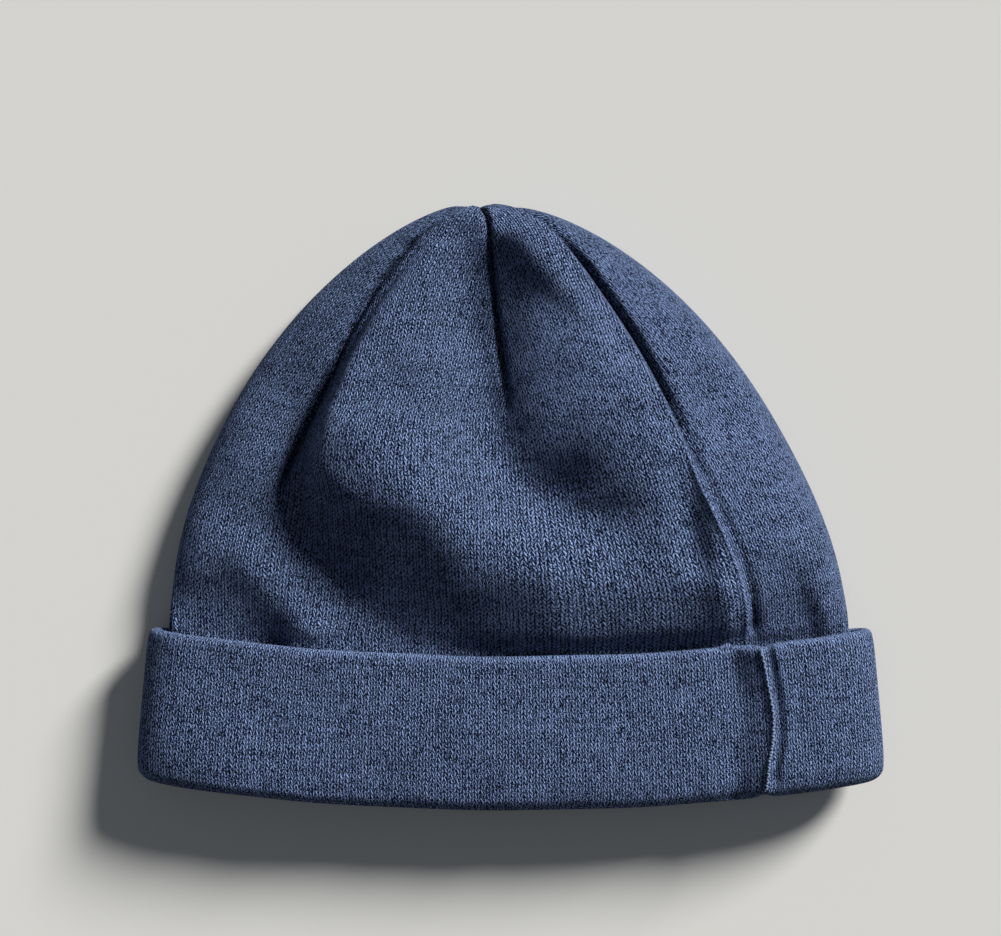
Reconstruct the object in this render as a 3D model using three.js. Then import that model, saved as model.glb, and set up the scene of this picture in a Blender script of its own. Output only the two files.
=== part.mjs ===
// A knit beanie with a turned-up cuff, lying flat. Millimetres, +Z up, crown towards +Y, mouth towards -Y.
//
// It is a double sheet of jersey: an outer shell and an inner lining, each closed by one side seam and shaped by
// five crown darts. The open end is turned up outside the body, so the cuff shows the lining cloth's side and
// hides the shell cloth behind it. Every layer is a flattened ring or bag, nested inside the one around it.
import * as THREE from "three";

// Outline, seen from above. Places along the hat are given on its centre line.
const LENGTH = 184; // from the bottom fold to the apex
const APEX_Y = LENGTH / 2;
const FOLD_Y = -LENGTH / 2;
const CUFF_DEPTH = 47;
const CUFF_TOP_Y = FOLD_Y + CUFF_DEPTH;
const CUFF_HALF_WIDTH = 115.5; // at the bottom fold
const CUFF_TAPER = 4; // how much narrower each side is at the cuff's top edge
const CROWN_BASE_Y = -42;
const CROWN_HALF_WIDTH = 104.5;
const APEX_SHIFT = -5; // the crown leans to the left as it lies
const SMILE = 6.6e-4; // the cuff's edges are parabolas that rise towards the sides, per mm
const SMILE_END_Y = 30; // above this the cloth's courses run straight across

// Heights above the surface that the hat lies on.
const CUFF_THICKNESS = 20.4;
const CUFF_MID = CUFF_THICKNESS / 2;
const CROWN_HEIGHT = 24;
const CROWN_EDGE_HEIGHT = 9; // where the crown's silhouette runs
const SAG_LENGTH = 14; // the crown's underside sinks to the surface this far above the cuff
const SWELL_LENGTH = 34; // and its top swells to the full height this far above it

// Cloth.
const CLOTH = 1; // one layer of jersey
const LOFT = 1.2; // between the two layers of the double sheet, where the seam allowances lie
const SHEET = 2 * CLOTH + LOFT;
const TOUCH = 0.3; // between pieces that touch
const BODY_INSET = SHEET + TOUCH; // the cuff's sheet lies outside the body
const BODY_HALF_WIDTH = CUFF_HALF_WIDTH - BODY_INSET; // at the bottom fold

// Seams. A seam's place round the hat is a share of the half width, -1 to 1, on the top or the underside.
const ALLOWANCE_WIDTH = 4;
const ALLOWANCE_DEPTHS = [CLOTH + TOUCH, CLOTH + LOFT - TOUCH]; // a pressed allowance fills the loft
const SEAM_GAP = 0.6; // between the shell's allowances and the lining's, which are pressed opposite ways
const SEAM_TOP_Y = 82;
const LEFT_DART = { name: "1", at: -0.68, top: true, end: 2 };
const CENTRE_DART = { name: "2", at: 0.02, top: true, end: 33 };
const BACK_DARTS = [
  { name: "3", at: 0.62, top: false, end: 18 },
  { name: "4", at: -0.02, top: false, end: 33 },
  { name: "5", at: -0.64, top: false, end: 18 },
];
const DARTS = [LEFT_DART, CENTRE_DART, ...BACK_DARTS];
const SIDE_SEAM = { at: 0.64, atCuff: 0.7, top: true };
const THREAD_WIDTH = 1.6;
const THREAD_HEIGHT = 0.8;
const TACK_RADIUS = 1.3;
const TACK_HEIGHT = 0.4;
const TACK_SETBACK = 0.2; // towards the lining, clear of the shell's curve

// How finely the cloth is divided.
const AROUND = 40;
const CROWN_RINGS = 14; // from the cuff to the apex, closer together towards the apex
const RING_CROWDING = 1.7;
const BODY_RINGS = 3; // of the body inside the cuff
const ROLL_STEPS = 6; // round a rolled edge
const CUFF_SEAM_STEPS = 6;

const COLOURS = {
  shell: 0x3a4a6b,
  lining: 0x3b4967,
  cuff: 0x3e4d6e,
  allowance: 0x33415f,
  thread: 0x7f93b8,
};

function smoothStep(value, from, to) {
  const t = THREE.MathUtils.clamp((value - from) / (to - from), 0, 1);
  return t * t * (3 - 2 * t);
}

function between(from, to, share) {
  return from + (to - from) * share;
}

// The cuff and the body are two families of nested surfaces. A family gives, for a place y along the centre line
// and an inset from its outermost surface, the half width and the heights of the flattened ring there.
const cuff = {
  ring(y, inset) {
    const up = (y - FOLD_Y) / CUFF_DEPTH;
    return {
      halfWidth: CUFF_HALF_WIDTH - CUFF_TAPER * up - inset,
      edge: CUFF_MID,
      rise: CUFF_MID - inset,
      drop: CUFF_MID - inset,
      floor: inset,
      squareness: 8,
    };
  },
};

const body = {
  ring(y, inset) {
    const crown = THREE.MathUtils.clamp((y - CROWN_BASE_Y) / (APEX_Y - inset - CROWN_BASE_Y), 0, 1);
    const below = Math.max(0, (CROWN_BASE_Y - y) / (CROWN_BASE_Y - FOLD_Y));
    const base = between(CROWN_HALF_WIDTH, BODY_HALF_WIDTH, below) - inset;
    const sag = smoothStep(y, CUFF_TOP_Y + 1, CUFF_TOP_Y + SAG_LENGTH);
    const swell = smoothStep(y, CUFF_TOP_Y + 1, CUFF_TOP_Y + SWELL_LENGTH);
    const inCuff = CUFF_MID - BODY_INSET;
    const edge = between(CUFF_MID, CROWN_EDGE_HEIGHT, sag);
    const dome = Math.sqrt(1 - Math.pow(crown, 3));
    return {
      halfWidth: base * Math.pow(1 - Math.pow(crown, 1.5), 0.52),
      edge,
      rise: (between(inCuff, CROWN_HEIGHT - CROWN_EDGE_HEIGHT, swell) - inset) * dome,
      drop: (between(inCuff, CROWN_EDGE_HEIGHT + 2, sag) - inset) * dome,
      floor: between(BODY_INSET, 0, sag) + inset,
      squareness: between(8, 2.8, swell),
    };
  },
};

// A point of a ring, at a share of its half width on the top or the underside.
function ringPoint(family, y, inset, share, top) {
  const ring = family.ring(y, inset);
  const bulge = Math.sqrt(Math.max(0, 1 - Math.pow(Math.abs(share), ring.squareness)));
  const lean = APEX_SHIFT * Math.pow(Math.max(0, (y - CROWN_BASE_Y) / (APEX_Y - CROWN_BASE_Y)), 2);
  const across = share * ring.halfWidth;
  const smile = SMILE * (1 - smoothStep(y, CUFF_TOP_Y, SMILE_END_Y));
  const height = top ? ring.edge + ring.rise * bulge : Math.max(ring.floor, ring.edge - ring.drop * bulge);
  return new THREE.Vector3(lean + across, y + smile * across * across, height);
}

// Round the whole ring, from the right edge over the top to the left edge and back underneath.
function wholeRing(family, y, inset) {
  return Array.from({ length: AROUND }, (_, i) => {
    const angle = (i / AROUND) * 2 * Math.PI;
    return ringPoint(family, y, inset, Math.cos(angle), Math.sin(angle) >= 0);
  });
}

// A closed surface through rings of points. Without poles, the last ring joins the first.
function skin(rings, poles) {
  const size = rings[0].length;
  const points = rings.flat();
  const faces = [];
  const joins = poles ? rings.length - 1 : rings.length;
  for (let r = 0; r < joins; r++) {
    const here = r * size;
    const next = ((r + 1) % rings.length) * size;
    for (let i = 0; i < size; i++) {
      const j = (i + 1) % size;
      faces.push([here + i, here + j, next + j], [here + i, next + j, next + i]);
    }
  }
  if (poles) {
    const last = (rings.length - 1) * size;
    points.push(...poles);
    for (let i = 0; i < size; i++) {
      const j = (i + 1) % size;
      faces.push([points.length - 2, j, i], [points.length - 1, last + i, last + j]);
    }
  }
  const geometry = new THREE.BufferGeometry();
  geometry.setAttribute("position", new THREE.Float32BufferAttribute(points.flatMap((p) => p.toArray()), 3));
  geometry.setIndex(facingOut(points, faces).flat());
  geometry.computeVertexNormals();
  return geometry;
}

// Turns every face round if the surface encloses a negative volume.
function facingOut(points, faces) {
  const normal = new THREE.Vector3();
  const volume = faces.reduce((sum, [a, b, c]) => {
    normal.crossVectors(points[b], points[c]);
    return sum + points[a].dot(normal);
  }, 0);
  return volume < 0 ? faces.map(([a, b, c]) => [a, c, b]) : faces;
}

// Where the body's rings lie along the hat, from the mouth end to the apex.
function bodyPlaces(mouthY, inset) {
  const inside = Array.from({ length: BODY_RINGS }, (_, i) => between(mouthY, CROWN_BASE_Y, i / BODY_RINGS));
  const crown = Array.from({ length: CROWN_RINGS }, (_, i) =>
    between(APEX_Y - inset, CROWN_BASE_Y, Math.pow(1 - i / CROWN_RINGS, RING_CROWDING)),
  );
  return [...inside, ...crown];
}

// A bag of cloth, closed at the apex and open at its mouth end. Its layers are at inset and inset + CLOTH.
function bag(inset, mouthY) {
  const layer = (depth) => bodyPlaces(mouthY, depth).map((y) => wholeRing(body, y, depth));
  const pole = (depth) => ringPoint(body, APEX_Y - depth, depth, 0, true);
  const inner = inset + CLOTH;
  return skin([...layer(inset).reverse(), ...layer(inner)], [pole(inset), pole(inner)]);
}

// The cuff's visible cloth: its face, with the edges rolled over at the brim and at the bottom fold.
function cuffFace() {
  const roll = (centreInset, centreY, radius, from, to) =>
    Array.from({ length: ROLL_STEPS + 1 }, (_, i) => {
      const angle = between(from, to, i / ROLL_STEPS);
      return [centreInset - radius * Math.cos(angle), centreY + radius * Math.sin(angle)];
    });
  const brim = SHEET / 2;
  const fold = (BODY_INSET + SHEET) / 2;
  const outside = [
    ...roll(brim, CUFF_TOP_Y - brim, brim, Math.PI, 0),
    [0, between(FOLD_Y, CUFF_TOP_Y, 0.5)],
    ...roll(fold, FOLD_Y + fold, fold, 0, -Math.PI),
  ];
  const inside = [
    ...roll(fold, FOLD_Y + fold, fold - CLOTH, -Math.PI, 0),
    [CLOTH, between(FOLD_Y, CUFF_TOP_Y, 0.5)],
    ...roll(brim, CUFF_TOP_Y - brim, brim - CLOTH, 0, Math.PI),
  ];
  return skin([...outside, ...inside].map(([inset, y]) => wholeRing(cuff, y, inset)));
}

// The cuff's hidden cloth, behind its face, with a hook at the bottom that meets the body's shell.
function cuffBacking() {
  const outer = SHEET - CLOTH;
  const top = CUFF_TOP_Y - SHEET / 2 - TOUCH;
  const under = FOLD_Y + CLOTH + TOUCH;
  const section = [
    [outer, top],
    [outer, between(FOLD_Y, CUFF_TOP_Y, 0.5)],
    [outer, under + CLOTH],
    [SHEET, under],
    [BODY_INSET, under],
    [BODY_INSET + CLOTH, under + CLOTH],
    [SHEET, under + CLOTH],
    [SHEET, between(FOLD_Y, CUFF_TOP_Y, 0.5)],
    [SHEET, top],
  ];
  return skin(section.map(([inset, y]) => wholeRing(cuff, y, inset)));
}

// A strip that follows a line down a layer, through the given places along the hat. shareAt gives the line's
// place round the hat at each y, and side, 1 or -1, lays the strip on one side of the line.
function strip(family, places, shareAt, top, depths, width, side) {
  const rings = places.map((y) => {
    const reach = width / family.ring(y, 0).halfWidth;
    const near = shareAt(y) + (side * SEAM_GAP) / 2 / family.ring(y, 0).halfWidth;
    const shares = side === 0 ? [near - reach / 2, near + reach / 2] : [near, near + side * reach];
    return [
      ringPoint(family, y, depths[0], shares[0], top),
      ringPoint(family, y, depths[0], shares[1], top),
      ringPoint(family, y, depths[1], shares[1], top),
      ringPoint(family, y, depths[1], shares[0], top),
    ];
  });
  const middle = (ring) => ring[0].clone().add(ring[1]).add(ring[2]).add(ring[3]).divideScalar(4);
  return skin(rings, [middle(rings[0]), middle(rings.at(-1))]);
}

// A body seam bends where the cloth's rings do.
function seamPlaces(bottomY) {
  const rings = bodyPlaces(FOLD_Y, CLOTH + LOFT / 2);
  return [bottomY, ...rings.filter((y) => y > bottomY && y < SEAM_TOP_Y), SEAM_TOP_Y];
}

function dartSeam(dart, side) {
  const places = seamPlaces(dart.end);
  return strip(body, places, () => dart.at, dart.top, ALLOWANCE_DEPTHS, ALLOWANCE_WIDTH, side);
}

function sideSeamShare(y) {
  return between(SIDE_SEAM.atCuff, SIDE_SEAM.at, smoothStep(y, CUFF_TOP_Y, SEAM_TOP_Y));
}

function bodySideSeam(side) {
  const places = seamPlaces(FOLD_Y + BODY_INSET + SHEET);
  return strip(body, places, sideSeamShare, SIDE_SEAM.top, ALLOWANCE_DEPTHS, ALLOWANCE_WIDTH, side);
}

function cuffPlaces(bottomY) {
  const top = CUFF_TOP_Y - SHEET;
  return Array.from({ length: CUFF_SEAM_STEPS + 1 }, (_, i) => between(bottomY, top, i / CUFF_SEAM_STEPS));
}

function cuffSideSeam(side) {
  const places = cuffPlaces(FOLD_Y + SHEET);
  const share = () => SIDE_SEAM.atCuff;
  return strip(cuff, places, share, SIDE_SEAM.top, ALLOWANCE_DEPTHS, ALLOWANCE_WIDTH, side);
}

// The overlock thread stands proud of the cuff's face along the seam.
function cuffSeamThread() {
  const places = cuffPlaces(FOLD_Y + BODY_INSET + SHEET);
  const share = () => SIDE_SEAM.atCuff;
  const depths = [-TOUCH - THREAD_HEIGHT, -TOUCH];
  return strip(cuff, places, share, SIDE_SEAM.top, depths, THREAD_WIDTH, 0);
}

// A knot of thread between the two crowns, at the apex.
function crownTack() {
  return new THREE.CylinderGeometry(TACK_RADIUS, TACK_RADIUS, TACK_HEIGHT, 12).scale(1, 1, 0.6);
}

function part(name, geometry, colour) {
  const material = new THREE.MeshStandardMaterial({ color: colour, roughness: 0.95, metalness: 0 });
  const mesh = new THREE.Mesh(geometry, material);
  mesh.name = name;
  return mesh;
}

const beanie = new THREE.Group();
const shellEnd = FOLD_Y + 2 * CLOTH + 2 * TOUCH;
const liningEnd = FOLD_Y + (BODY_INSET + SHEET) / 2 + TOUCH;
beanie.add(part("outer_shell", bag(0, shellEnd), COLOURS.shell));
beanie.add(part("inner_lining", bag(SHEET - CLOTH, liningEnd), COLOURS.lining));
beanie.add(part("cuff_face", cuffFace(), COLOURS.cuff));
beanie.add(part("cuff_backing", cuffBacking(), COLOURS.shell));
for (const dart of DARTS) {
  beanie.add(part(`shell_dart_seam_${dart.name}`, dartSeam(dart, 1), COLOURS.allowance));
  beanie.add(part(`lining_dart_seam_${dart.name}`, dartSeam(dart, -1), COLOURS.allowance));
}
beanie.add(part("shell_side_seam", bodySideSeam(1), COLOURS.allowance));
beanie.add(part("lining_side_seam", bodySideSeam(-1), COLOURS.allowance));
beanie.add(part("cuff_face_side_seam", cuffSideSeam(1), COLOURS.allowance));
beanie.add(part("cuff_backing_side_seam", cuffSideSeam(-1), COLOURS.allowance));
beanie.add(part("cuff_seam_thread", cuffSeamThread(), COLOURS.thread));

const tack = part("crown_tack", crownTack(), COLOURS.thread);
tack.position.set(APEX_SHIFT, APEX_Y - CLOTH - LOFT / 2 - TACK_SETBACK, CROWN_EDGE_HEIGHT);
beanie.add(tack);

export default beanie;
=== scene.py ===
"""A denim-blue jersey beanie with its cuff turned up, lying flat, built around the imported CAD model.

Lengths are in millimetres until a mesh is made. The hat is a set of grids of points: rows run along the hat,
from the mouth to the apex, and columns run round it. Place round the hat is a turn from 0 to 4: 0 is the
right edge, 1 the middle of the top, 2 the left edge and 3 the middle of the underside.
"""

import math

import bpy
import numpy as np
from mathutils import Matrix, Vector


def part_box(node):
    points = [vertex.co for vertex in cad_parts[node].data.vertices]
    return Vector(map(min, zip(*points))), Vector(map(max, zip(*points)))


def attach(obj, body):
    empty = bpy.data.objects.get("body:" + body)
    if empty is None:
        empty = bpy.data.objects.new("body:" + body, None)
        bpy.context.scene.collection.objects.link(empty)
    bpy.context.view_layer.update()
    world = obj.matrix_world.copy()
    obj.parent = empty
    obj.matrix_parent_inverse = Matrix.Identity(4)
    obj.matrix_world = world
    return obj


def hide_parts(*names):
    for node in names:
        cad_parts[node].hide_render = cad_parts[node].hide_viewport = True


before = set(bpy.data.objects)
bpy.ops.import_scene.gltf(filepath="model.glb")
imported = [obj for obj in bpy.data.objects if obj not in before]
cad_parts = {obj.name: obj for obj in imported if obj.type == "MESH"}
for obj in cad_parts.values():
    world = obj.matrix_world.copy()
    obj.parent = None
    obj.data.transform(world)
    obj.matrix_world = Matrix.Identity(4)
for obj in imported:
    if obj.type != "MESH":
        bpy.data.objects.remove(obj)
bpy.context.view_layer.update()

MM = 0.001


def box_mm(node):
    low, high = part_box(node)
    return np.array(low) / MM, np.array(high) / MM


# ---------------------------------------------------------------- sizes, from the frame where it has them
CUFF_LOW, CUFF_HIGH = box_mm("cuff_face")
_, SHELL_HIGH = box_mm("outer_shell")
FOLD_Y = CUFF_LOW[1]
APEX_Y = SHELL_HIGH[1] + 1.4  # the cloth bulges a little past the plain CAD shell
CUFF_HALF_WIDTH = CUFF_HIGH[0]
CUFF_MID = CUFF_HIGH[2] / 2
CUFF_DEPTH = 47.0
CUFF_TOP_Y = FOLD_Y + CUFF_DEPTH
CUFF_TAPER = 4.2  # how much narrower each side of the cuff is at its top edge
BASE_Y = CUFF_TOP_Y - 1.0  # where the crown leaves the cuff
HIDDEN_START_Y = FOLD_Y + 4  # where the shell and the cuff's hidden back start
SMILE = 6.6e-4  # the cuff's edges curve up towards the sides, per mm
SMILE_END_Y = 30.0  # above this the rows of stitches run straight across
CLOTH = 1.0
SHEET = 3.2  # two layers of cloth with air between
GAP = 0.3  # between pieces that lie against each other
BODY_INSET = SHEET + GAP
LINING_SOFTNESS = 2.4  # how much wider its creases are than the shell's
LINING_EXTRA = 0.7  # how much deeper it lies near the apex, as a share
LINING_EXTRA_Y = (55, 80)  # the heights between which it sinks
CROWN_EDGE = 6.6  # height of the crown's silhouette
GORE_RISE = 9.2  # how far the flat gores stand above it

WALE = 1.84  # width of one column of stitches
COURSE = 1.5  # height of one row of stitches
BRIM_PAINTED_HIGHLIGHT = 0.34  # the painted highlight along the brim: how much paler the yarn is there
CREASE_PAINTED_SHADE = 0.12  # the painted shade in the creases: how much darker the yarn is for each mm of a crease's depth
YARN = (0.0345, 0.063, 0.164)  # its colour in linear light


# ---------------------------------------------------------------- small helpers
def ease(value, start, end):
    t = np.clip((value - start) / (end - start), 0.0, 1.0)
    return t * t * (3 - 2 * t)


def mix(a, b, share):
    return a + (b - a) * share


def waves(x, y, length, seed, count=7):
    """Smooth uneven waves of about the given length, from -1 to 1."""
    rng = np.random.default_rng(seed)
    total = np.zeros(np.broadcast(x, y).shape)
    for _ in range(count):
        heading = rng.uniform(0, 2 * math.pi)
        rate = 2 * math.pi / (length * rng.uniform(0.7, 1.5))
        total += np.sin(rate * (x * math.cos(heading) + y * math.sin(heading)) + rng.uniform(0, 2 * math.pi))
    return total / math.sqrt(count) / 1.4


def smooth_line(points, count=90):
    """A smooth curve through a few points, as a Catmull-Rom spline."""
    p = np.array(points, float)
    p = np.vstack([2 * p[0] - p[1], p, 2 * p[-1] - p[-2]])
    out = []
    for i, t in ((int(s), s - int(s)) for s in np.linspace(0, len(points) - 1 - 1e-9, count)):
        a, b, c, d = p[i : i + 4]
        out.append(
            0.5 * (2 * b + (c - a) * t + (2 * a - 5 * b + 4 * c - d) * t**2 + (3 * b - a - 3 * c + d) * t**3)
        )
    return np.array(out)


def beside(line, x, y):
    """Distance of each point from a line, positive on the left as the line runs, and the share along it."""
    best = np.full(x.shape, 1e9)
    side = np.zeros(x.shape)
    along = np.zeros(x.shape)
    for i in range(len(line) - 1):
        (ax, ay), (bx, by) = line[i], line[i + 1]
        dx, dy = bx - ax, by - ay
        t = np.clip(((x - ax) * dx + (y - ay) * dy) / (dx * dx + dy * dy), 0, 1)
        ex, ey = x - ax - t * dx, y - ay - t * dy
        d = np.hypot(ex, ey)
        near = d < best
        best = np.where(near, d, best)
        side = np.where(near, np.sign(dx * ey - dy * ex), side)
        along = np.where(near, (i + t) / (len(line) - 1), along)
    return best * side, along


def hump(distance, middle, width):
    """A soft ridge of height 1 that falls away on both sides of its middle."""
    return np.exp(-0.5 * ((distance - middle) / width) ** 2)


# ---------------------------------------------------------------- the body's seams and outline
# Each seam's height and turn at a few points, from the cuff to the apex.
SEAMS = {
    "side_seam": [
        (-92, 0.318), (-45, 0.306), (-30, 0.309), (-14, 0.332), (-5, 0.348), (4, 0.367),
        (18, 0.386), (38, 0.41), (53, 0.435), (68, 0.46), (80, 0.465), (88, 0.46),
    ],
    "dart_2": [(-92, 0.972), (33, 0.972), (60, 1.01), (88, 1.05)],
    "dart_1": [(-92, 1.715), (10, 1.716), (24, 1.705), (46, 1.675), (80, 1.67), (90, 1.64)],
    "dart_5": [(-92, 2.36), (92, 2.36)],
    "dart_4": [(-92, 2.98), (92, 2.98)],
    "dart_3": [(-92, 3.62), (92, 3.62)],
}
# The lowest point that each dart's stitching reaches.
DART_END = {"dart_1": 2, "dart_2": 31, "dart_3": 18, "dart_4": 33, "dart_5": 18}


def seam_turn(name, y):
    heights, turns = zip(*SEAMS[name])
    return np.interp(y, heights, turns)


def crown_share(y):
    return np.clip((y - BASE_Y) / (APEX_Y - BASE_Y), 0, 1)


LEFT_HALF, RIGHT_HALF = 105.0, 104.0  # the crown's half widths where it leaves the cuff
LEFT_LEAN, RIGHT_LEAN = -16.0, -4.0  # where its two edges meet the apex
LEFT_POWERS, RIGHT_POWERS = (2.05, 0.74), (1.7, 0.57)  # how its two edges round over
FLARE = CUFF_HALF_WIDTH - BODY_INSET - 105.5  # how much wider each side is at the bottom fold


def rounded(share, powers):
    """The share of its half width that an edge keeps, from 1 at the cuff to 0 at the apex."""
    return (1 - share ** powers[0]) ** powers[1]


def outline(y):
    """The body's left and right edges at each height."""
    s = crown_share(y)
    flare = FLARE * np.clip((BASE_Y - y) / (BASE_Y - FOLD_Y), 0, 1)
    left = LEFT_LEAN * s**2 - LEFT_HALF * rounded(s, LEFT_POWERS) - flare
    right = RIGHT_LEAN * s**2 + RIGHT_HALF * rounded(s, RIGHT_POWERS) + flare
    return left, right


def smile(y):
    """How strongly the row at each height curves up towards the sides."""
    return SMILE * (1 - ease(y, CUFF_TOP_Y, SMILE_END_Y))


def place(turn, y):
    """Where a point lies from above, how far it is from the middle, and whether it is on the top."""
    t = np.mod(turn, 4)
    top = t <= 2
    share = np.where(top, 1 - t, t - 3)
    left, right = outline(y)
    x = (left + right) / 2 + share * (right - left) / 2
    return x, y + smile(y) * x * x, share, top


# ---------------------------------------------------------------- the shape of the crown as it lies
# The side gores lie flat and low. The middle of the top is a pillow that stands above them, edged by the left
# dart and by a long flank that falls towards the lower left and the cuff.
PILLOW = 12.0
PILLOW_AT_APEX = 0.55  # the share of its height that it has near the apex
BEYOND_SEAM_LOSS = 0.15  # the share that it loses on the right of the side seam
LEFT_FLANK = smooth_line([
    (-12, 98), (-28, 80), (-45.5, 55), (-60, 24), (-64, 8), (-62, -8),
    (-54, -22), (-40, -34), (-22, -42), (10, -46), (60, -44.5), (110, -38),
])
# The flank's width at a few shares of the way along it.
FLANK_WIDTHS = [
    (0, 18), (0.08, 9), (0.16, 4), (0.25, 4), (0.33, 7),
    (0.41, 22), (0.5, 38), (0.63, 46), (0.75, 38), (1, 28),
]
# Each fold is a line on the top, its height, its widths on the left and the right hand as the line runs, and
# the shares of its length over which it fades in and out. A pair of values changes from the start to the end.
FOLDS = {
    "crest": ([(-62, 30), (-44, 22), (-26, 10), (-4, -5), (14, -17), (40, -24)], 6.3, 11, 14, 0.10, 0.35),
    "flank valley": (
        [(-48, 55), (-63, 26), (-67, 8), (-64, -10), (-55, -25), (-40, -37)], -2.0, 10, 6, 0.3, 0.2
    ),
    "low left roll": ([(-86, -4), (-79, -15), (-70, -29), (-58, -44)], 3.2, 7, 6.5, 0.35, 0.1),
    "dart valley": (
        [(-15, 92), (-13, 74), (-9, 52), (-7, 32), (-4, 14)], (-5, -10.5), (11, 7), (8, 13), 0.15, 0.3
    ),
    "left panel dip": ([(-30, 84), (-36, 72), (-40, 56)], -1.6, 9, 6, 0.2, 0.4),
    "upper hollow": ([(-10, 84), (-2, 75), (7, 65), (17, 56), (24, 50)], -2.1, 4, 8, 0.25, 0.35),
    "right roll": (
        [(5, 92), (10, 76), (23, 54), (39, 28), (49, 5), (46, -14)], (3.8, 3.6), 5.5, (11, 15), 0.1, 0.3
    ),
    "basin": ([(-16, 32), (-9, 16), (2, 5), (20, -1), (40, 2)], -9, 10, 12, 0.3, 0.45),
    "pleat": ([(48, 18), (52, 4), (56, -12), (59, -26)], -3.2, 4.5, 3.5, 0.25, 0.3),
    "seam roll": ([(53, 18), (58, 0), (63, -20), (68, -38)], 2.0, 4, 4, 0.3, 0.2),
    "right foot": ([(66, -50), (84, -46), (100, -40)], -3.4, 14, 8, 0.3, 0.2),
    "left wrinkle": ([(-60, 36), (-46, 32), (-32, 30)], -1.8, 4.5, 4.5, 0.35, 0.4),
    "upper left roll": ([(-40, 46), (-26, 44), (-16, 30)], 1.8, 6, 7, 0.3, 0.4),
    "gore dent": ([(53, 48), (61, 33), (66, 17)], -4.2, 7, 4.5, 0.4, 0.4),
    "low dent": ([(80, -10), (84, -26), (86, -40)], -2.2, 7, 7, 0.4, 0.3),
    "left foot": ([(-108, -38), (-88, -43), (-62, -48)], -6.0, 11, 6, 0.05, 0.25),
}


def fold(x, y, points, height, left, right, start, end):
    """The height that one fold adds at each point."""
    d, along = beside(smooth_line(points, 50), x, y)
    width = np.where(d > 0, mix(*np.broadcast_to(left, 2), along), mix(*np.broadcast_to(right, 2), along))
    fade = ease(along, 0, start) * (1 - ease(along, 1 - end, 1))
    return mix(*np.broadcast_to(height, 2), along) * fade * hump(d, 0, width)


def crown_relief(x, y, seam_x):
    """How far the top stands above the flat gores."""
    d, along = beside(LEFT_FLANK, x, y)
    shares, widths = zip(*FLANK_WIDTHS)
    climb = np.clip(d / np.interp(along, shares, widths), 0, 1)
    from_left = climb * (2 - climb) * mix(PILLOW_AT_APEX, 1.0, ease(0.5 * x - y, -64, -8))
    beyond_seam = 1 - BEYOND_SEAM_LOSS * ease(x - seam_x, -9, 26)
    relief = PILLOW * from_left * beyond_seam
    for shape in FOLDS.values():
        relief = relief + fold(x, y, *shape)
    # The cloth is a little uneven everywhere, in long waves and in shorter, lower ones.
    return relief + 0.5 * waves(x, y, 42, seed=3) + 0.25 * waves(x, y, 17, seed=4)


DOME_POWER = 22  # how late the body closes towards the apex
HIDDEN_SQUARENESS, CROWN_SQUARENESS = 9.0, 12.0  # of the body's section, inside the cuff and above it
APEX_ROUNDING = 8.0  # how much less square the section is at the apex
FADE_LENGTH = 6.0  # over which the folds and the side seam's crease grow to their full height


def body_base(turn, y):
    """The body's outer surface, without the creases at its seams."""
    x, plan_y, share, top = place(turn, y)
    out = ease(y, CUFF_TOP_Y + 1, CUFF_TOP_Y + 16)
    inside = CUFF_MID - BODY_INSET
    edge = mix(CUFF_MID, CROWN_EDGE, out)
    dome = np.sqrt(1 - crown_share(y) ** DOME_POWER)
    squareness = mix(HIDDEN_SQUARENESS, CROWN_SQUARENESS, out) - APEX_ROUNDING * crown_share(y) ** 4
    bulge = np.sqrt(1 - np.abs(share) ** squareness)
    rise = mix(inside, GORE_RISE, out) * dome
    drop = mix(inside, CROWN_EDGE, out) * dome
    left, right = outline(y)
    seam_share = 1 - seam_turn("side_seam", y)
    seam_x = (left + right) / 2 + seam_share * (right - left) / 2
    relief = crown_relief(x, plan_y, seam_x)
    # Inside the cuff the cloth may sink, but it has no room to rise.
    start = np.where(relief > 0, CUFF_TOP_Y - 0.3, CUFF_TOP_Y - 8)
    relief = relief * bulge * dome * ease(y, start, start + FADE_LENGTH)
    z = np.where(top, edge + rise * bulge + relief, edge - drop * bulge)
    return np.stack([x, plan_y, z], -1)


# Depth and width of the crease at each seam, and the share of its depth that it loses at the apex.
CREASES = {
    "side_seam": (3.3, 1.3, 0.4),
    "dart_2": (3.0, 0.85, 0.2),
    "dart_1": (4.4, 1.5, 0.8),
    "dart_5": (1.4, 1.6, 0.5),
    "dart_4": (1.4, 1.6, 0.5),
    "dart_3": (1.4, 1.6, 0.5),
}
GROOVE_OFFSET = 2.5  # the side seam's groove lies this far to the right of its ridge
RIDGE_HEIGHT, RIDGE_WIDTH = 0.8, 1.4  # of that ridge
LOW_GROOVE = 0.45  # the share of its depth that the side seam's groove has near the cuff
LOW_GROOVE_Y = (5, 35)  # and the heights between which it deepens
DART_FADE = (-6, 14)  # a dart's crease grows from below the end of its stitching to above it
APEX_LOSS_Y = (70, 91)  # the creases lose depth between these heights


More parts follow.
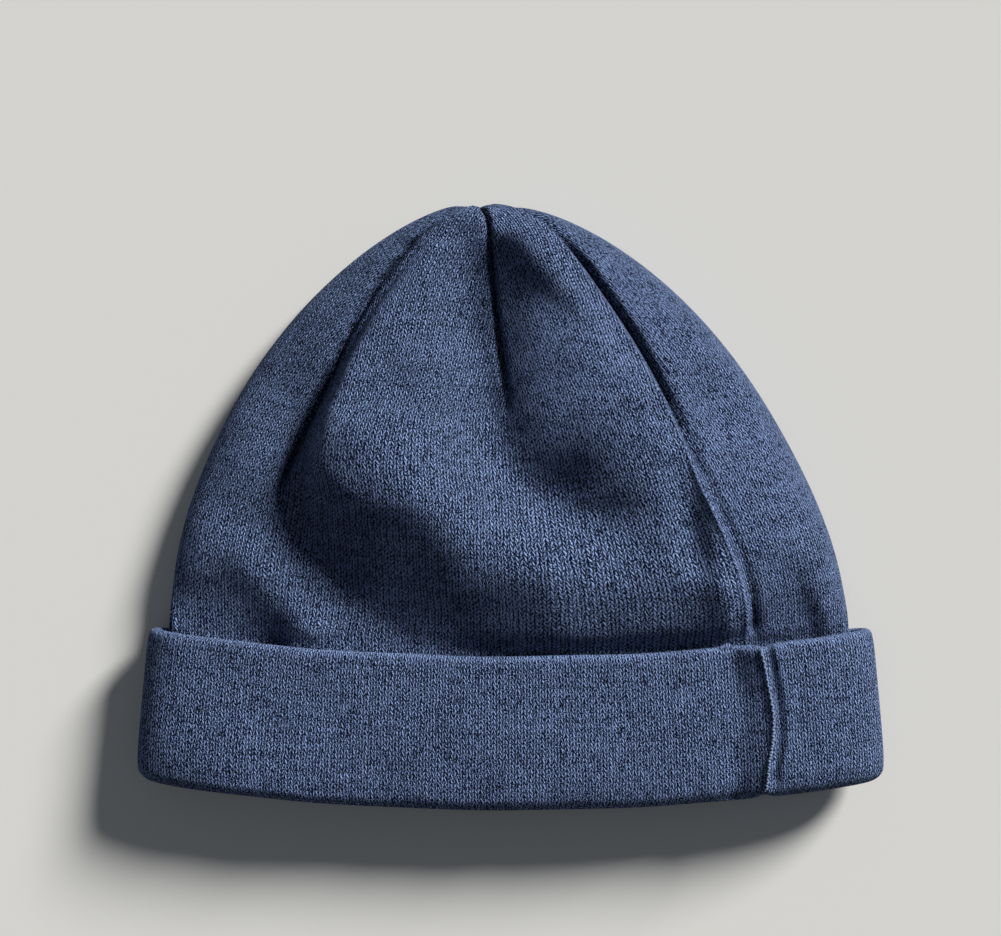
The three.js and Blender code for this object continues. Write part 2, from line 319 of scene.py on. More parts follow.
def crease_depth(turn, y, softness):
    """How far the seams pull the cloth in. A softer crease is as deep and wider."""
    left, right = outline(y)
    depth = np.zeros(turn.shape)
    for name, (deep, wide, loss) in CREASES.items():
        is_side = name == "side_seam"
        offset = GROOVE_OFFSET if is_side else 0.0
        gap = (np.mod(turn - seam_turn(name, y) + 2, 4) - 2) * (right - left) / 2 + offset
        if is_side:
            start, full = CUFF_TOP_Y, CUFF_TOP_Y + FADE_LENGTH
        else:
            start, full = DART_END[name] + DART_FADE[0], DART_END[name] + DART_FADE[1]
        reach = ease(y, start, full) * (1 - loss * ease(y, *APEX_LOSS_Y))
        if is_side:
            ridge = np.exp(-(((gap - offset) / (RIDGE_WIDTH * softness)) ** 2))
            depth = depth - RIDGE_HEIGHT * reach * ridge
            deep = deep * mix(LOW_GROOVE, 1.0, ease(y, *LOW_GROOVE_Y))
        depth = depth + deep * reach * np.exp(-np.abs(gap / (wide * softness)) ** 1.4)
    return depth


def grid_normals(points, around=True):
    """Outward normals of a grid. Its columns close on themselves unless around is off."""
    step = (np.roll(points, -1, 1) - np.roll(points, 1, 1)) if around else np.gradient(points, axis=1)
    normal = np.cross(step, np.gradient(points, axis=0))
    return normal / np.maximum(np.linalg.norm(normal, axis=-1, keepdims=True), 1e-9)


def body_surface(turn, y, softness=1.0, around=True):
    base = body_base(turn, y)
    return base - crease_depth(turn, y, softness)[..., None] * grid_normals(base, around)


# ---------------------------------------------------------------- grids
def seam_spaced(count):
    """Shares from 0 to 1 that crowd together at both ends, for the creases."""
    t = np.arange(count) / count
    crowding = 0.11
    return t - crowding * np.sin(2 * math.pi * t)


def edge_spaced(count):
    """Shares from 0 to 1 that crowd together more strongly, for the hat's folded edges."""
    t = np.arange(count) / count
    return t * t * (3 - 2 * t)


def body_columns(y, detail):
    """The turn of every column at each height, and which gore each column's strip of cloth belongs to."""
    side = seam_turn("side_seam", y)
    # The turn where each strip starts, how its columns are spaced, how many there are, and its gore.
    strips = [
        (side, "seam", 44, 0),
        (seam_turn("dart_2", y), "seam", 48, 1),
        (seam_turn("dart_1", y), "edge", 28, 2),
        (np.full(y.shape, 2.0), "edge", 18, 2),
        (seam_turn("dart_5", y), "seam", 24, 3),
        (seam_turn("dart_4", y), "seam", 24, 4),
        (seam_turn("dart_3", y), "edge", 18, 5),
        (np.full(y.shape, 4.0), "edge", 28, 5),
    ]
    ends = [strip[0] for strip in strips[1:]] + [4 + side]
    turns, gores = [], []
    for (start, kind, count, gore), end in zip(strips, ends):
        count = max(6, int(count * detail))
        shares = seam_spaced(count) if kind == "seam" else edge_spaced(count)
        turns.append(start[:, None] + (end - start)[:, None] * shares[None, :])
        gores += [gore] * count
    turn = np.concatenate(turns, 1)
    # The columns run clockwise, seen from the mouth, so that the grid faces outwards.
    turn = np.concatenate([turn[:, :1] + 4, turn[:, ::-1]], 1)
    return turn[:, :-1], np.array(gores[::-1])


# Where each gore starts to narrow. Below this the wales run straight through the seams.
GORE_START = [30.0, 30.0, 4.0, 18.0, 18.0, 16.0]


def wale_positions(points, y, gores):
    """The wales at the two sides of each column's strip. A gore keeps its wales up to where it starts to
    narrow. Above that they run beside its middle line, and meet the seams at a slant."""
    width = np.linalg.norm(np.roll(points, -1, 1) - points, axis=-1)
    first, last = np.zeros(width.shape), np.zeros(width.shape)
    wales = 0.0
    for gore, start in enumerate(GORE_START):
        mine = gores == gore
        across = np.cumsum(width[:, mine], 1)
        whole = across[:, -1:]
        full = np.interp(start, y, whole[:, 0]) / WALE
        count = np.where(y[:, None] < start, full, whole / WALE)
        middle = wales + full / 2
        last[:, mine] = middle + (across / whole - 0.5) * count
        first[:, mine] = middle + ((across - width[:, mine]) / whole - 0.5) * count
        wales += full
    return first, last


# ---------------------------------------------------------------- meshes
def new_object(name, vertices, faces, material, uv=None):
    """A smooth-shaded object from points in millimetres, in the scene and with its material."""
    mesh = bpy.data.meshes.new(name)
    mesh.from_pydata((np.asarray(vertices) * MM).tolist(), [], [list(map(int, f)) for f in faces])
    if uv is not None:
        layer = mesh.uv_layers.new(name="stitches")
        layer.data.foreach_set("uv", np.asarray(uv, np.float32).ravel())
    mesh.shade_smooth()
    mesh.validate()
    piece = bpy.data.objects.new(name, mesh)
    bpy.context.scene.collection.objects.link(piece)
    piece.data.materials.append(material)
    return piece


def cloth(name, outer, material, stitch, closed_end):
    """A closed sheet of cloth: a grid, the same grid one thickness behind it, and their rims. stitch gives
    each grid face's four corners in stitches. With closed_end, the last row closes to a point at the apex."""
    rows, columns = outer.shape[:2]
    inner = outer - CLOTH * grid_normals(outer)
    vertices = np.concatenate([outer.reshape(-1, 3), inner.reshape(-1, 3)])
    half = rows * columns
    i, j = np.meshgrid(np.arange(rows - 1), np.arange(columns), indexing="ij")
    right = (j + 1) % columns
    low, high = i * columns, (i + 1) * columns
    quads = np.stack([low + j, low + right, high + right, high + j], -1).reshape(-1, 4)
    faces = [*quads, *(quads[:, ::-1] + half)]
    uv = [stitch.reshape(-1, 4, 2), stitch.reshape(-1, 4, 2)[:, ::-1]]
    here = np.arange(columns)
    after = (here + 1) % columns
    ends = [0] if closed_end else [0, rows - 1]
    for row in ends:
        a, b = row * columns + here, row * columns + after
        rim = np.stack([a, a + half, b + half, b], -1)
        faces += list(rim if row == 0 else rim[:, ::-1])
        corner = stitch[0 if row == 0 else -1, :, 0]
        uv.append(np.repeat(corner[:, None], 4, 1))
    uv = [np.concatenate(uv).reshape(-1, 2)]
    if closed_end:
        tips = np.stack([outer[-1].mean(0), inner[-1].mean(0)])
        tips += 0.15 * (tips - np.stack([outer[-2].mean(0), inner[-2].mean(0)]))
        vertices = np.concatenate([vertices, tips])
        tip = 2 * half
        last_row = [((rows - 1) * columns + a, (rows - 1) * columns + b) for a, b in zip(here, after)]
        faces += [(a, b, tip) for a, b in last_row]
        faces += [(b + half, a + half, tip + 1) for a, b in last_row]
        fan = np.stack([stitch[-1, :, 3], stitch[-1, :, 2], (stitch[-1, :, 3] + stitch[-1, :, 2]) / 2], 1)
        uv += [fan.reshape(-1, 2), fan[:, [1, 0, 2]].reshape(-1, 2)]
    return new_object(name, vertices, faces, material, np.concatenate(uv))


def set_painted_light(piece, values):
    """How much paler with a painted highlight, or darker with painted shade if negative, the yarn looks at
    each point.
    """
    piece.data.attributes.new("painted_light", "FLOAT", "POINT").data.foreach_set("value", values.astype(np.float32))


def lengths_along(points):
    """Length along each column from the first row, in courses."""
    step = np.linalg.norm(np.diff(points, axis=0), axis=-1)
    return np.concatenate([np.zeros((1, points.shape[1])), np.cumsum(step, 0)]) / COURSE


def corner_grid(left_u, right_u, v):
    """Stitch coordinates of each face's corners, from the wales at its two sides and each point's course."""
    v_right = np.roll(v, -1, 1)
    return np.stack(
        [
            np.stack([left_u[:-1], v[:-1]], -1),
            np.stack([right_u[:-1], v_right[:-1]], -1),
            np.stack([right_u[1:], v_right[1:]], -1),
            np.stack([left_u[1:], v[1:]], -1),
        ],
        2,
    )


def body_rows(start, hidden, crown):
    """Heights of the rows, wider apart inside the cuff and closer together towards the apex."""
    inside = np.linspace(start, BASE_Y, hidden, endpoint=False)
    t = np.arange(crown) / crown
    crowding = 1.45
    return np.concatenate([inside, BASE_Y + (APEX_Y - BASE_Y) * (1 - (1 - t) ** crowding)])


def body_cloth(name, start, hidden, crown, detail, inset, softness, material):
    """The shell or the lining, from its start inside the cuff to the apex. hidden and crown count its rows
    inside the cuff and above it, and detail is its share of the shell's columns."""
    y = body_rows(start, hidden, crown)
    turn, gores = body_columns(y, detail)
    height = np.repeat(y[:, None], turn.shape[1], 1)
    points = body_surface(turn, height, softness)
    if inset:
        sunk = inset * (1 + LINING_EXTRA * ease(height, *LINING_EXTRA_Y))[..., None]
        points = points - sunk * grid_normals(points)
    left_u, right_u = wale_positions(points, y, gores)
    piece = cloth(name, points, material, corner_grid(left_u, right_u, lengths_along(points)), True)
    # Painted shade darkens the yarn in the creases, more where they are deeper.
    painted_crease_shade = -CREASE_PAINTED_SHADE * crease_depth(turn, height, softness)
    set_painted_light(piece, np.concatenate([painted_crease_shade.ravel(), painted_crease_shade.ravel(), [0, 0]]))
    return piece


# ---------------------------------------------------------------- the cuff
CUFF_SEAM = smooth_line([
    (75, -40), (77.4, -53), (78.9, -62), (78.8, -70), (77.7, -77), (77.3, -86), (76.6, -93),
])
CUFF_SEAM_TURN = 0.31
BRIM_RADIUS = SHEET / 2 + 0.2
FOLD_RADIUS = (BODY_INSET + SHEET) / 2
TURNED_IN = 6.0  # how far the cuff's cloth goes on into the mouth
LINING_START_Y = FOLD_Y + FOLD_RADIUS + TURNED_IN + GAP  # just past the end of the cuff's cloth
CUFF_SQUARENESS = 11  # of the cuff's section
CUFF_BULGE = 0.3  # how far its sides stand out past the CAD cuff
FOLD_CORNER, BRIM_CORNER = (1.6, 3.5), (0.9, 2.5)  # how far its sides turn in at each edge, and how fast
EDGE_WAVE = 0.35  # how far the cuff's two edges wander
FOLD_SAG = 1.5  # how much lower the face lies at the bottom fold
# The parts of the cuff's seam: each one's height, its place on the left hand as the seam runs, and its width.
SEAM_THREAD_RIDGE = (0.7, 0.0, 0.9)
SEAM_CHANNEL = (-1.4, 2.6, 0.9)
SEAM_SECOND_RIDGE = (0.7, 5.2, 1.3)
SEAM_DIP = (-2.0, -9.0, 3.4)
SEAM_SWELL, SWELL_LEFT, SWELL_RIGHT = 1.3, 3.0, 5.0  # the seam's height, and its widths on the two hands
NOTCH_DEPTH, NOTCH_X, NOTCH_WIDTH = 0.9, 77.0, 1.6  # where the seam pulls in the cuff's two edges


def half_turn(middle, radii, start_y, count):
    """Points of a half ellipse in section. The radii are signed: across the cuff and along the hat."""
    angles = np.linspace(0, math.pi, count)
    return [(middle + radii[0] * math.cos(a), start_y + radii[1] * math.sin(a)) for a in angles]


def cuff_path():
    """The cuff's cloth in section, from its hidden back over the brim and down its face into the mouth, as
    insets from the outside and heights along the hat."""
    brim_y, fold_y = CUFF_TOP_Y - BRIM_RADIUS, FOLD_Y + FOLD_RADIUS
    back = [(SHEET, y) for y in np.linspace(HIDDEN_START_Y, brim_y, 9, endpoint=False)]
    over = half_turn(SHEET / 2, (SHEET / 2, BRIM_RADIUS), brim_y, 11)
    face = [(0.0, y) for y in np.linspace(brim_y, fold_y, 24)[1:-1]]
    under = half_turn(FOLD_RADIUS, (-FOLD_RADIUS, -FOLD_RADIUS), fold_y, 15)
    inside = [(2 * FOLD_RADIUS, fold_y + TURNED_IN * step / 3) for step in (1, 2, 3)]
    return np.array(back + over + face + under + inside)


def cuff_columns():
    """The turn of every column: close together at the two side edges and at the seam."""
    right = edge_spaced(34) * CUFF_SEAM_TURN
    top = CUFF_SEAM_TURN + (2 - CUFF_SEAM_TURN) * edge_spaced(120)
    under = 2 + 2 * (0.5 - 0.5 * np.cos(np.pi * np.arange(90) / 90))
    return np.concatenate([right, top, under])


def cuff_seam_relief(x, y):
    """How far the seam's ridges stand above the cuff's face, and its channel and dip below it."""
    d, along = beside(CUFF_SEAM, x, y)

    def part(shape):
        height, middle, width = shape
        return height * hump(d, middle, width)

    swell = SEAM_SWELL * hump(d, 0, np.where(d > 0, SWELL_LEFT, SWELL_RIGHT))
    channel = part(SEAM_CHANNEL) * (1 - ease(along, 0.72, 0.9))
    second = part(SEAM_SECOND_RIDGE) * (1 - ease(along, 0.55, 0.8))
    dip = part(SEAM_DIP) * (0.35 + 0.65 * np.abs(2 * along - 1) ** 1.3)
    return swell + part(SEAM_THREAD_RIDGE) + channel + second + dip


def cuff_surface(path, turn):
    """The cuff's outer surface. path holds insets from the outside and heights along the hat."""
    inset, y = path[:, 0][:, None], path[:, 1][:, None]
    t = np.mod(turn, 4)[None, :]
    top = t <= 2
    share = np.where(top, 1 - t, t - 3)
    at_fold = FOLD_CORNER[0] * np.exp(-(y - FOLD_Y) / FOLD_CORNER[1])
    at_brim = BRIM_CORNER[0] * np.exp(-(CUFF_TOP_Y - y) / BRIM_CORNER[1])
    half = CUFF_HALF_WIDTH + CUFF_BULGE - CUFF_TAPER * (y - FOLD_Y) / CUFF_DEPTH - inset - (at_fold + at_brim)
    bulge = np.sqrt(1 - np.abs(share) ** CUFF_SQUARENESS)
    x = share * half
    plan_y = y + SMILE * x * x
    plan_y = plan_y + EDGE_WAVE * waves(x, 0 * x, 55, seed=11) * ease(inset, 6, 0)
    height = (CUFF_MID - inset) * bulge
    lift = 0.45 * waves(x, plan_y, 60, seed=12) + 0.25 * waves(x, plan_y, 24, seed=13)
    lift = lift * ease(inset, SHEET, 1.0)
    lift = lift - FOLD_SAG * np.exp(-(y - FOLD_Y) / 5) * ease(inset, 4, 0)
    seam = cuff_seam_relief(x, plan_y) * ease(inset, 3.0, 1.0) * bulge
    z = CUFF_MID + np.where(top, height + (lift + seam) * bulge, -height)
    notch = NOTCH_DEPTH * hump(x, NOTCH_X, NOTCH_WIDTH) * top
    from_brim = -ease(y, CUFF_TOP_Y - 5, CUFF_TOP_Y)
    from_fold = ease(-y, -FOLD_Y - 5, -FOLD_Y)
    pull = np.where(y > (CUFF_TOP_Y + FOLD_Y) / 2, from_brim, from_fold)
    return np.stack([x, plan_y + notch * pull, z], -1)


def make_cuff(material):
    path = cuff_path()
    turn = cuff_columns()
    points = cuff_surface(path, turn)
    middle_ring = points[len(path) // 2]
    width = np.linalg.norm(np.roll(middle_ring, -1, 0) - middle_ring, axis=-1) / WALE
    right_u = np.repeat(np.cumsum(width)[None, :], len(path), 0)
    left_u = right_u - width
    middle = lengths_along(points).mean(1, keepdims=True)
    v = np.repeat(-middle, len(turn), 1)
    piece = cloth("cuff_cloth", points, material, corner_grid(left_u, right_u, v), False)
    # A painted highlight makes the yarn paler along the brim's outer edge.
    rim = np.exp(-(((path[:, 1] - CUFF_TOP_Y) / 1.5) ** 2)) * (path[:, 0] < SHEET * 0.8)
    set_painted_light(piece, BRIM_PAINTED_HIGHLIGHT * np.tile(np.repeat(rim, len(turn)), 2))
    return piece


# ---------------------------------------------------------------- materials
class Nodes:
    """Shorthand for building a material's node tree."""

    def __init__(self, name):
        self.material = bpy.data.materials.new(name)
        self.material.use_nodes = True
        self.tree = self.material.node_tree
        self.shader = self.tree.nodes["Principled BSDF"]

    def add(self, kind, settings=None, **inputs):
        node = self.tree.nodes.new(kind)
        for key, value in (settings or {}).items():
            setattr(node, key, value)
        for key, value in inputs.items():
            self.put(node.inputs[key.replace("_", " ")], value)
        return node

    def put(self, socket, value):
        if isinstance(value, bpy.types.NodeSocket):
            self.tree.links.new(value, socket)
        else:
            socket.default_value = value

    def math(self, operation, a, b=0.0, clamp=False):
        node = self.tree.nodes.new("ShaderNodeMath")
        node.operation = operation
        node.use_clamp = clamp
        self.put(node.inputs[0], a)
        self.put(node.inputs[1], b)
        return node.outputs[0]

    def ramp(self, value, stops):
        node = self.tree.nodes.new("ShaderNodeValToRGB")
        elements = node.color_ramp.elements
        while len(elements) < len(stops):
            elements.new(0.5)
        for element, (at, colour) in zip(elements, stops):
            element.position = at
            element.color = (*colour, 1.0)
        self.put(node.inputs[0], value)
        return node.outputs[0]

    def noise(self, vector, scale, detail=2.0, roughness=0.5):
        node = self.add("ShaderNodeTexNoise", Vector=vector, Scale=scale, Detail=detail, Roughness=roughness)
        return node.outputs["Fac"]

    def combine(self, x, y):
        return self.add("ShaderNodeCombineXYZ", X=x, Y=y).outputs[0]

    def swing(self, value, amount):
        """A noise from 0 to 1, moved and scaled to lie evenly on both sides of 0."""
        return self.math("MULTIPLY", self.math("SUBTRACT", value, 0.5), amount)

    def bump(self, height, strength, distance):
        node = self.add("ShaderNodeBump", Strength=strength, Distance=distance, Height=height)
        self.put(self.shader.inputs["Normal"], node.outputs[0])

    def look(self, **settings):
        for key, value in settings.items():
            self.shader.inputs[key.replace("_", " ")].default_value = value


GAP_PAINTED_SHADE = (0.015, 0.035, 0.08)  # painted shade in the gaps between stitches, as shares of the yarn's colour
PAINTED_GLINT = (7.7, 5.9, 4.1)  # painted glints on the brightest fibres, likewise
LEG_SLANT = 1.1  # how many rows a leg of a V climbs from the column's middle to its side
STITCH_WANDER = (0.75, 1.6)  # across the columns and along them, in stitches


def stitch_pattern(n, across, along):
    """The V-shaped stitches at a place in stitches: their height, and a random value for each leg."""
    off_centre = n.math("MULTIPLY", n.math("ABSOLUTE", n.math("SUBTRACT", n.math("FRACT", across), 0.5)), 2.0)
    slanted = n.math("SUBTRACT", along, n.math("MULTIPLY", off_centre, LEG_SLANT))
    round_leg = n.math("MULTIPLY", n.math("SINE", n.math("MULTIPLY", off_centre, math.pi)), 0.85)
    middle_rise = n.math("MULTIPLY", n.math("SUBTRACT", 1.0, off_centre), 0.3)
    leg = n.math("ADD", round_leg, middle_rise)
    step = n.math("SUBTRACT", n.math("MULTIPLY", n.math("FRACT", slanted), 2.0), 1.0)
    loop = n.math("SUBTRACT", 1.0, n.math("MULTIPLY", step, step))
    cell = n.combine(n.math("FLOOR", n.math("MULTIPLY", across, 2.0)), n.math("FLOOR", slanted))
    per_leg = n.add("ShaderNodeTexWhiteNoise", {"noise_dimensions": "2D"}, Vector=cell).outputs["Value"]
    return n.math("MULTIPLY", leg, loop), per_leg


def knit_material(name, yarn):
    """Stockinette jersey: columns of V-shaped stitches with painted shade in their gaps and painted glints on
    the brightest fibres, heathered yarn and a light fuzz.
    """
    n = Nodes(name)
    uv = n.add("ShaderNodeUVMap", {"uv_map": "stitches"}).outputs[0]
    place_3d = n.add("ShaderNodeTexCoord").outputs["Object"]
    wale, course = n.add("ShaderNodeSeparateXYZ", Vector=uv).outputs[:2]
    # The stitches wander from their places, and more along the columns than across them.
    drift = n.add("ShaderNodeTexNoise", Vector=place_3d, Scale=240.0, Detail=3.0, Roughness=0.75)
    drift = n.add("ShaderNodeSeparateXYZ", Vector=drift.outputs["Color"]).outputs
    stitch, per_leg = stitch_pattern(
        n,
        n.math("ADD", wale, n.swing(drift[0], STITCH_WANDER[0])),
        n.math("ADD", course, n.swing(drift[1], STITCH_WANDER[1])),
    )
    fibre = n.noise(place_3d, 2200.0, 3.0, 0.7)
    heather = n.noise(place_3d, 320.0, 2.0, 0.6)
    cloud = n.noise(place_3d, 28.0, 2.0)
    rows = n.combine(n.math("MULTIPLY", wale, 0.07), n.math("MULTIPLY", course, 0.6))
    streak = n.noise(rows, 1.0, 3.0, 0.6)
    tone = n.math("MULTIPLY", stitch, n.math("ADD", n.math("MULTIPLY", per_leg, 0.8), 0.7))
    for pattern, amount in ((fibre, 4.2), (heather, 0.2), (cloud, 0.2), (streak, 0.5)):
        tone = n.math("ADD", tone, n.swing(pattern, amount))
    # Painted shade in the creases and a painted highlight along the brim, as stored on each piece's mesh.
    painted_light = n.add("ShaderNodeAttribute", {"attribute_name": "painted_light"}).outputs["Fac"]
    tone = n.math("ADD", tone, painted_light, clamp=True)
    # The colour runs from painted shade in the gaps between stitches, through the yarn, to painted glints on
    # the brightest fibres.
    dark = [c * s for c, s in zip(yarn, GAP_PAINTED_SHADE)]
    light = [min(1.0, c * s) for c, s in zip(yarn, PAINTED_GLINT)]
    n.put(n.shader.inputs["Base Color"], n.ramp(tone, [(0.22, dark), (0.46, yarn), (0.70, light)]))
    n.look(Roughness=0.95, Specular_IOR_Level=0.05)
    n.look(Sheen_Weight=0.08, Sheen_Roughness=0.45, Sheen_Tint=(0.45, 0.62, 1.0, 1.0))
    relief = n.math("ADD", stitch, n.math("MULTIPLY", fibre, 0.7))
    n.bump(relief, 1.0, 0.0017)
    return n.material


def thread_material(name, colour):
    """Twisted thread, darker with painted shade between its plies."""
    n = Nodes(name)
    place_3d = n.add("ShaderNodeTexCoord").outputs["Object"]
    ply = n.noise(place_3d, 2600.0, 3.0, 0.7)
    n.put(n.shader.inputs["Base Color"], n.ramp(ply, [(0.25, [c * 0.45 for c in colour]), (0.75, colour)]))
    n.look(Roughness=0.8, Sheen_Weight=0.3)
    n.bump(ply, 0.5, 0.0002)
    return n.material


SHELL_KNIT = knit_material("shell_knit", YARN)
LINING_KNIT = knit_material("lining_knit", [c * 0.9 for c in YARN])
CUFF_KNIT = knit_material("cuff_knit", YARN)
THREAD = thread_material("seam_thread", (0.19, 0.27, 0.46))
ALLOWANCE = thread_material("seam_allowance", [c * 0.8 for c in YARN])

# ---------------------------------------------------------------- the pieces
shell = body_cloth("shell_cloth", HIDDEN_START_Y, 8, 100, 1.0, 0.0, 1.0, SHELL_KNIT)
lining = body_cloth("lining_cloth", LINING_START_Y, 8, 60, 0.55, SHEET - CLOTH, LINING_SOFTNESS, LINING_KNIT)
cuff = make_cuff(CUFF_KNIT)
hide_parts("outer_shell")
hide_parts("inner_lining")
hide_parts("cuff_face", "cuff_backing")
for piece, slot, flat, area, rests_on in (
    (shell, "shell_knit", (0.430, 0.185), 0.066, ("lining_cloth",)),
    (lining, "lining_knit", (0.430, 0.180), 0.064, ("shell_cloth",)),
    (cuff, "cuff_knit", (0.460, 0.108), None, ("shell_cloth",)),
):
    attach(piece, "root")


# ---------------------------------------------------------------- the seams
def ribbon(name, top, thickness, material):
    """A closed strip: a grid of points that doesn't go all the way round, and the same grid behind it."""
    rows, columns = top.shape[:2]
    under = top - thickness * grid_normals(top, around=False)
    half = rows * columns
    faces = []
    for i in range(rows - 1):
        for j in range(columns - 1):
            a, b = i * columns + j, (i + 1) * columns + j
            faces += [(a, a + 1, b + 1, b), (a + half, b + half, b + 1 + half, a + 1 + half)]
        for j, turned in ((0, False), (columns - 1, True)):
            a, b = i * columns + j, (i + 1) * columns + j
            side = (a, b, b + half, a + half)
            faces.append(side[::-1] if turned else side)
    for i, turned in ((0, True), (rows - 1, False)):
        for j in range(columns - 1):
            a = i * columns + j
            side = (a, a + 1, a + 1 + half, a + half)
            faces.append(side[::-1] if not turned else side)
    return new_object(name, np.concatenate([top.reshape(-1, 3), under.reshape(-1, 3)]), faces, material)


ALLOWANCE_WIDTH = 4.0
ALLOWANCE_TOP_Y = 77.0
SEAM_GAP = 0.6  # from a body seam to its allowance
CUFF_SEAM_GAP = 0.3


def body_allowance(name, seam, side, start):
    """A pressed seam allowance between the two layers of the body, on one side of its seam."""
    y = np.linspace(start, ALLOWANCE_TOP_Y, max(12, int((ALLOWANCE_TOP_Y - start) / 2)))
    left, right = outline(y)
    across = side * np.linspace(SEAM_GAP, SEAM_GAP + ALLOWANCE_WIDTH, 9)
    turn = seam_turn(seam, y)[:, None] - across[None, :] / ((right - left) / 2)[:, None]
    if side < 0:
        turn = turn[:, ::-1]
    height = np.repeat(y[:, None], turn.shape[1], 1)
    surface = body_surface(turn, height, LINING_SOFTNESS, around=False)
    surface = surface - (CLOTH + 0.5) * grid_normals(surface, around=False)
    return ribbon(name, surface, 0.4, ALLOWANCE)


def cuff_points(inset, x, y):
    """Points on the cuff's top, at an inset from its face."""
    turn = 1 - x / (CUFF_HALF_WIDTH - CUFF_TAPER * (y - FOLD_Y) / CUFF_DEPTH)
    path = np.stack([np.full(y.shape, inset), y], -1)
    return np.stack([cuff_surface(path[i : i + 1], turn[i : i + 1])[0, 0] for i in range(len(y))])


def cuff_seam_line(count, low, high):
    """The seam's x, and its height along the hat before the cuff's edges curve up."""
    line = smooth_line(CUFF_SEAM, count * 3)
    y = line[:, 1] - SMILE * line[:, 0] ** 2
    want = np.linspace(high, low, count)
    return np.interp(-want, -y, line[:, 0]), want


def cuff_allowance(name, inset, side):
    """A pressed seam allowance between the two layers of the cuff, on one side of its seam."""
    x, y = cuff_seam_line(16, FOLD_Y + 9, CUFF_TOP_Y - 3)
    across = np.linspace(CUFF_SEAM_GAP, CUFF_SEAM_GAP + ALLOWANCE_WIDTH, 5) * side
    rows = [cuff_points(inset, x + a, y) for a in (across if side > 0 else across[::-1])]
    grid = np.stack(rows, 1)[::-1]
    return ribbon(name, grid, 0.35, ALLOWANCE)


def tube(name, line, radius, material, sides=8):
    """A round cord along a line of points, closed at both ends. radius may change along it."""
    line = np.asarray(line)
    ahead = np.gradient(line, axis=0)
    ahead /= np.linalg.norm(ahead, axis=1, keepdims=True)
    across = np.cross(ahead, [0, 0, 1.0])
    across /= np.maximum(np.linalg.norm(across, axis=1, keepdims=True), 1e-9)
    above = np.cross(across, ahead)
    angles = np.linspace(0, 2 * math.pi, sides, endpoint=False)
    ring = across[:, None] * np.cos(angles)[None, :, None] + above[:, None] * np.sin(angles)[None, :, None]
    points = line[:, None] + ring * np.broadcast_to(radius, len(line))[:, None, None]
    count = len(line)
    faces = []
    for i in range(count - 1):
        for j in range(sides):
            k = (j + 1) % sides
            faces.append((i * sides + j, (i + 1) * sides + j, (i + 1) * sides + k, i * sides + k))
    faces.append(tuple(range(sides)))
    faces.append(tuple((count - 1) * sides + j for j in reversed(range(sides))))
    return new_object(name, points.reshape(-1, 3), faces, material)


def stitched_cord(points, amplitude, period, radius, seed):
    """A thread that weaves along a line of points, with uneven loops and knots."""
    lengths = np.concatenate([[0], np.cumsum(np.linalg.norm(np.diff(points, axis=0), axis=1))])
    count = int(lengths[-1] / period * 10)
    at = np.linspace(0, lengths[-1], count)
    base = np.stack([np.interp(at, lengths, points[:, i]) for i in range(3)], -1)
    rng = np.random.default_rng(seed)
    loops = np.arange(0, lengths[-1] + period, period)
    sizes = rng.uniform(0.5, 1.2, int(lengths[-1] / period) + 2)
    unevenness = np.interp(at, loops, sizes[: len(loops)])
    phase = 2 * math.pi * at / period
    base[:, 0] += amplitude * unevenness * np.sin(phase)
    base[:, 2] += 0.5 * amplitude * unevenness * np.cos(2 * phase)
    return base, radius * (0.8 + 0.45 * unevenness * np.cos(phase) ** 2)


def tack_knot():
    """A small twisted loop of thread that holds the two crowns together at the apex."""
    a = np.linspace(0, 6, 24)
    middle = np.array([-4.8, APEX_Y - 2.4, CROWN_EDGE])
    return middle + np.stack([1.1 * np.cos(a), 0.5 * np.sin(2 * a), 0.7 * np.sin(a)], -1)


LAYERS = (("shell", 1), ("lining", -1))  # and the side of the seam that each one's allowance lies on
SEAM_PIECES = []
for number in range(1, 6):
    dart = f"dart_{number}"
    for layer, side in LAYERS:
        strip = body_allowance(f"{layer}_dart_allowance_{number}", dart, side, DART_END[dart])
        SEAM_PIECES.append((strip, "seam_allowance", (f"{layer}_dart_seam_{number}",)))
for layer, side in LAYERS:
    strip = body_allowance(f"{layer}_side_allowance", "side_seam", side, LINING_START_Y + GAP)
    SEAM_PIECES.append((strip, "seam_allowance", (f"{layer}_side_seam",)))
for layer, side, depth in (("face", 1, 0.2), ("backing", -1, 0.7)):
    strip = cuff_allowance(f"cuff_{layer}_allowance", CLOTH + depth, side)
    SEAM_PIECES.append((strip, "seam_allowance", (f"cuff_{layer}_side_seam",)))

on_cuff = cuff_points(0.0, *cuff_seam_line(60, FOLD_Y + 2, CUFF_TOP_Y - 1.0))
line, radius = stitched_cord(on_cuff + [0, 0, 0.15], amplitude=0.36, period=1.9, radius=0.28, seed=5)
SEAM_PIECES.append((tube("cuff_seam_cord", line, radius, THREAD), "seam_thread", ("cuff_seam_thread",)))
SEAM_PIECES.append((tube("crown_tack_thread", tack_knot(), 0.35, THREAD), "seam_thread", ("crown_tack",)))

for piece, slot, nodes in SEAM_PIECES:
    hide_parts(*nodes)
    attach(piece, "root")


# ---------------------------------------------------------------- floor, light and camera
PALE = (0.70, 0.70, 0.68)
FLOOR_RADIUS = 30.0  # in metres, so that its rim is out of sight
CAMERA_HEIGHT = 0.60  # in metres above the point that it looks at
VIEW_WIDTH = 0.307  # in metres, at that point
AIM = (-0.0031, 0.0121, 0.012)  # in metres, the point that it looks at


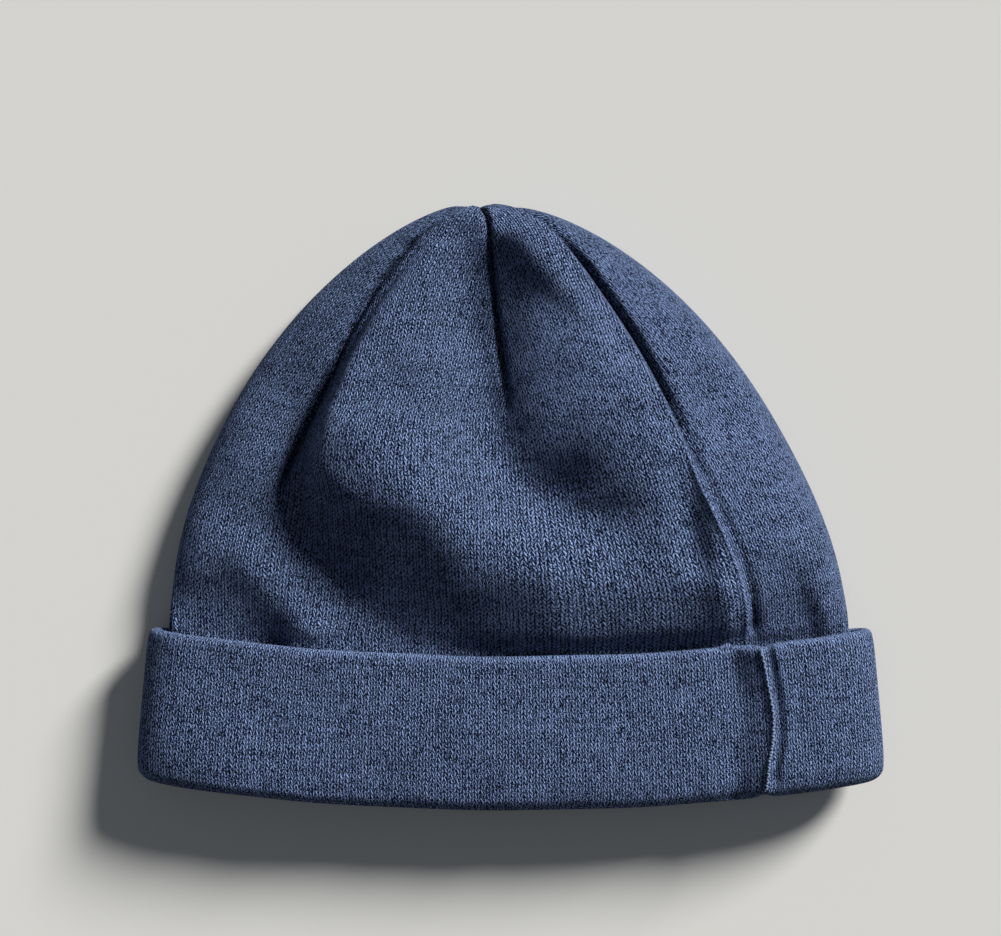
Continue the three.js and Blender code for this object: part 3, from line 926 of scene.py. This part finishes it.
def make_floor():
    bpy.ops.mesh.primitive_circle_add(vertices=96, radius=FLOOR_RADIUS, fill_type="NGON", location=(0, 0, 0))
    floor = bpy.context.object
    floor.name = "floor"
    n = Nodes("floor")
    n.look(Base_Color=(*PALE, 1), Roughness=0.9, Specular_IOR_Level=0.1)
    floor.data.materials.append(n.material)


def make_light(name, azimuth, elevation, softness, strength, colour=(1, 1, 1)):
    """A distant soft light. Azimuth is measured from +X towards +Y, and softness is its width in degrees."""
    a, e = math.radians(azimuth), math.radians(elevation)
    light = bpy.data.lights.new(name, "SUN")
    light.energy, light.angle, light.color = strength, math.radians(softness), colour
    lamp = bpy.data.objects.new(name, light)
    lamp.location = Vector((math.cos(a) * math.cos(e), math.sin(a) * math.cos(e), math.sin(e)))
    lamp.rotation_euler = lamp.location.to_track_quat("Z", "Y").to_euler()
    bpy.context.scene.collection.objects.link(lamp)


def make_world(colour, strength, backdrop):
    """A weak even light from all round. The camera sees a pale backdrop in its place."""
    world = bpy.data.worlds.new("studio")
    world.use_nodes = True
    tree = world.node_tree
    light = tree.nodes["Background"]
    light.inputs[0].default_value = (*colour, 1)
    light.inputs[1].default_value = strength
    seen = tree.nodes.new("ShaderNodeBackground")
    seen.inputs[0].default_value = (*backdrop, 1)
    path, either = tree.nodes.new("ShaderNodeLightPath"), tree.nodes.new("ShaderNodeMixShader")
    tree.links.new(path.outputs["Is Camera Ray"], either.inputs[0])
    tree.links.new(light.outputs[0], either.inputs[1])
    tree.links.new(seen.outputs[0], either.inputs[2])
    tree.links.new(either.outputs[0], tree.nodes["World Output"].inputs[0])
    bpy.context.scene.world = world


def make_camera():
    camera = bpy.data.cameras.new("camera")
    camera.sensor_width = 36
    camera.lens = camera.sensor_width * CAMERA_HEIGHT / VIEW_WIDTH
    holder = bpy.data.objects.new("camera", camera)
    holder.location = (AIM[0], AIM[1], CAMERA_HEIGHT + AIM[2])
    bpy.context.scene.collection.objects.link(holder)
    bpy.context.scene.camera = holder


make_floor()
make_light("window", 46, 23, 17, 6.65, (1.0, 0.98, 0.95))
make_light("fill", 200, 65, 50, 0.12, (0.92, 0.96, 1.0))
make_world((0.80, 0.87, 1.0), 0.09, (0.60, 0.60, 0.59))
make_camera()
bpy.context.scene.view_settings.view_transform = "Standard"
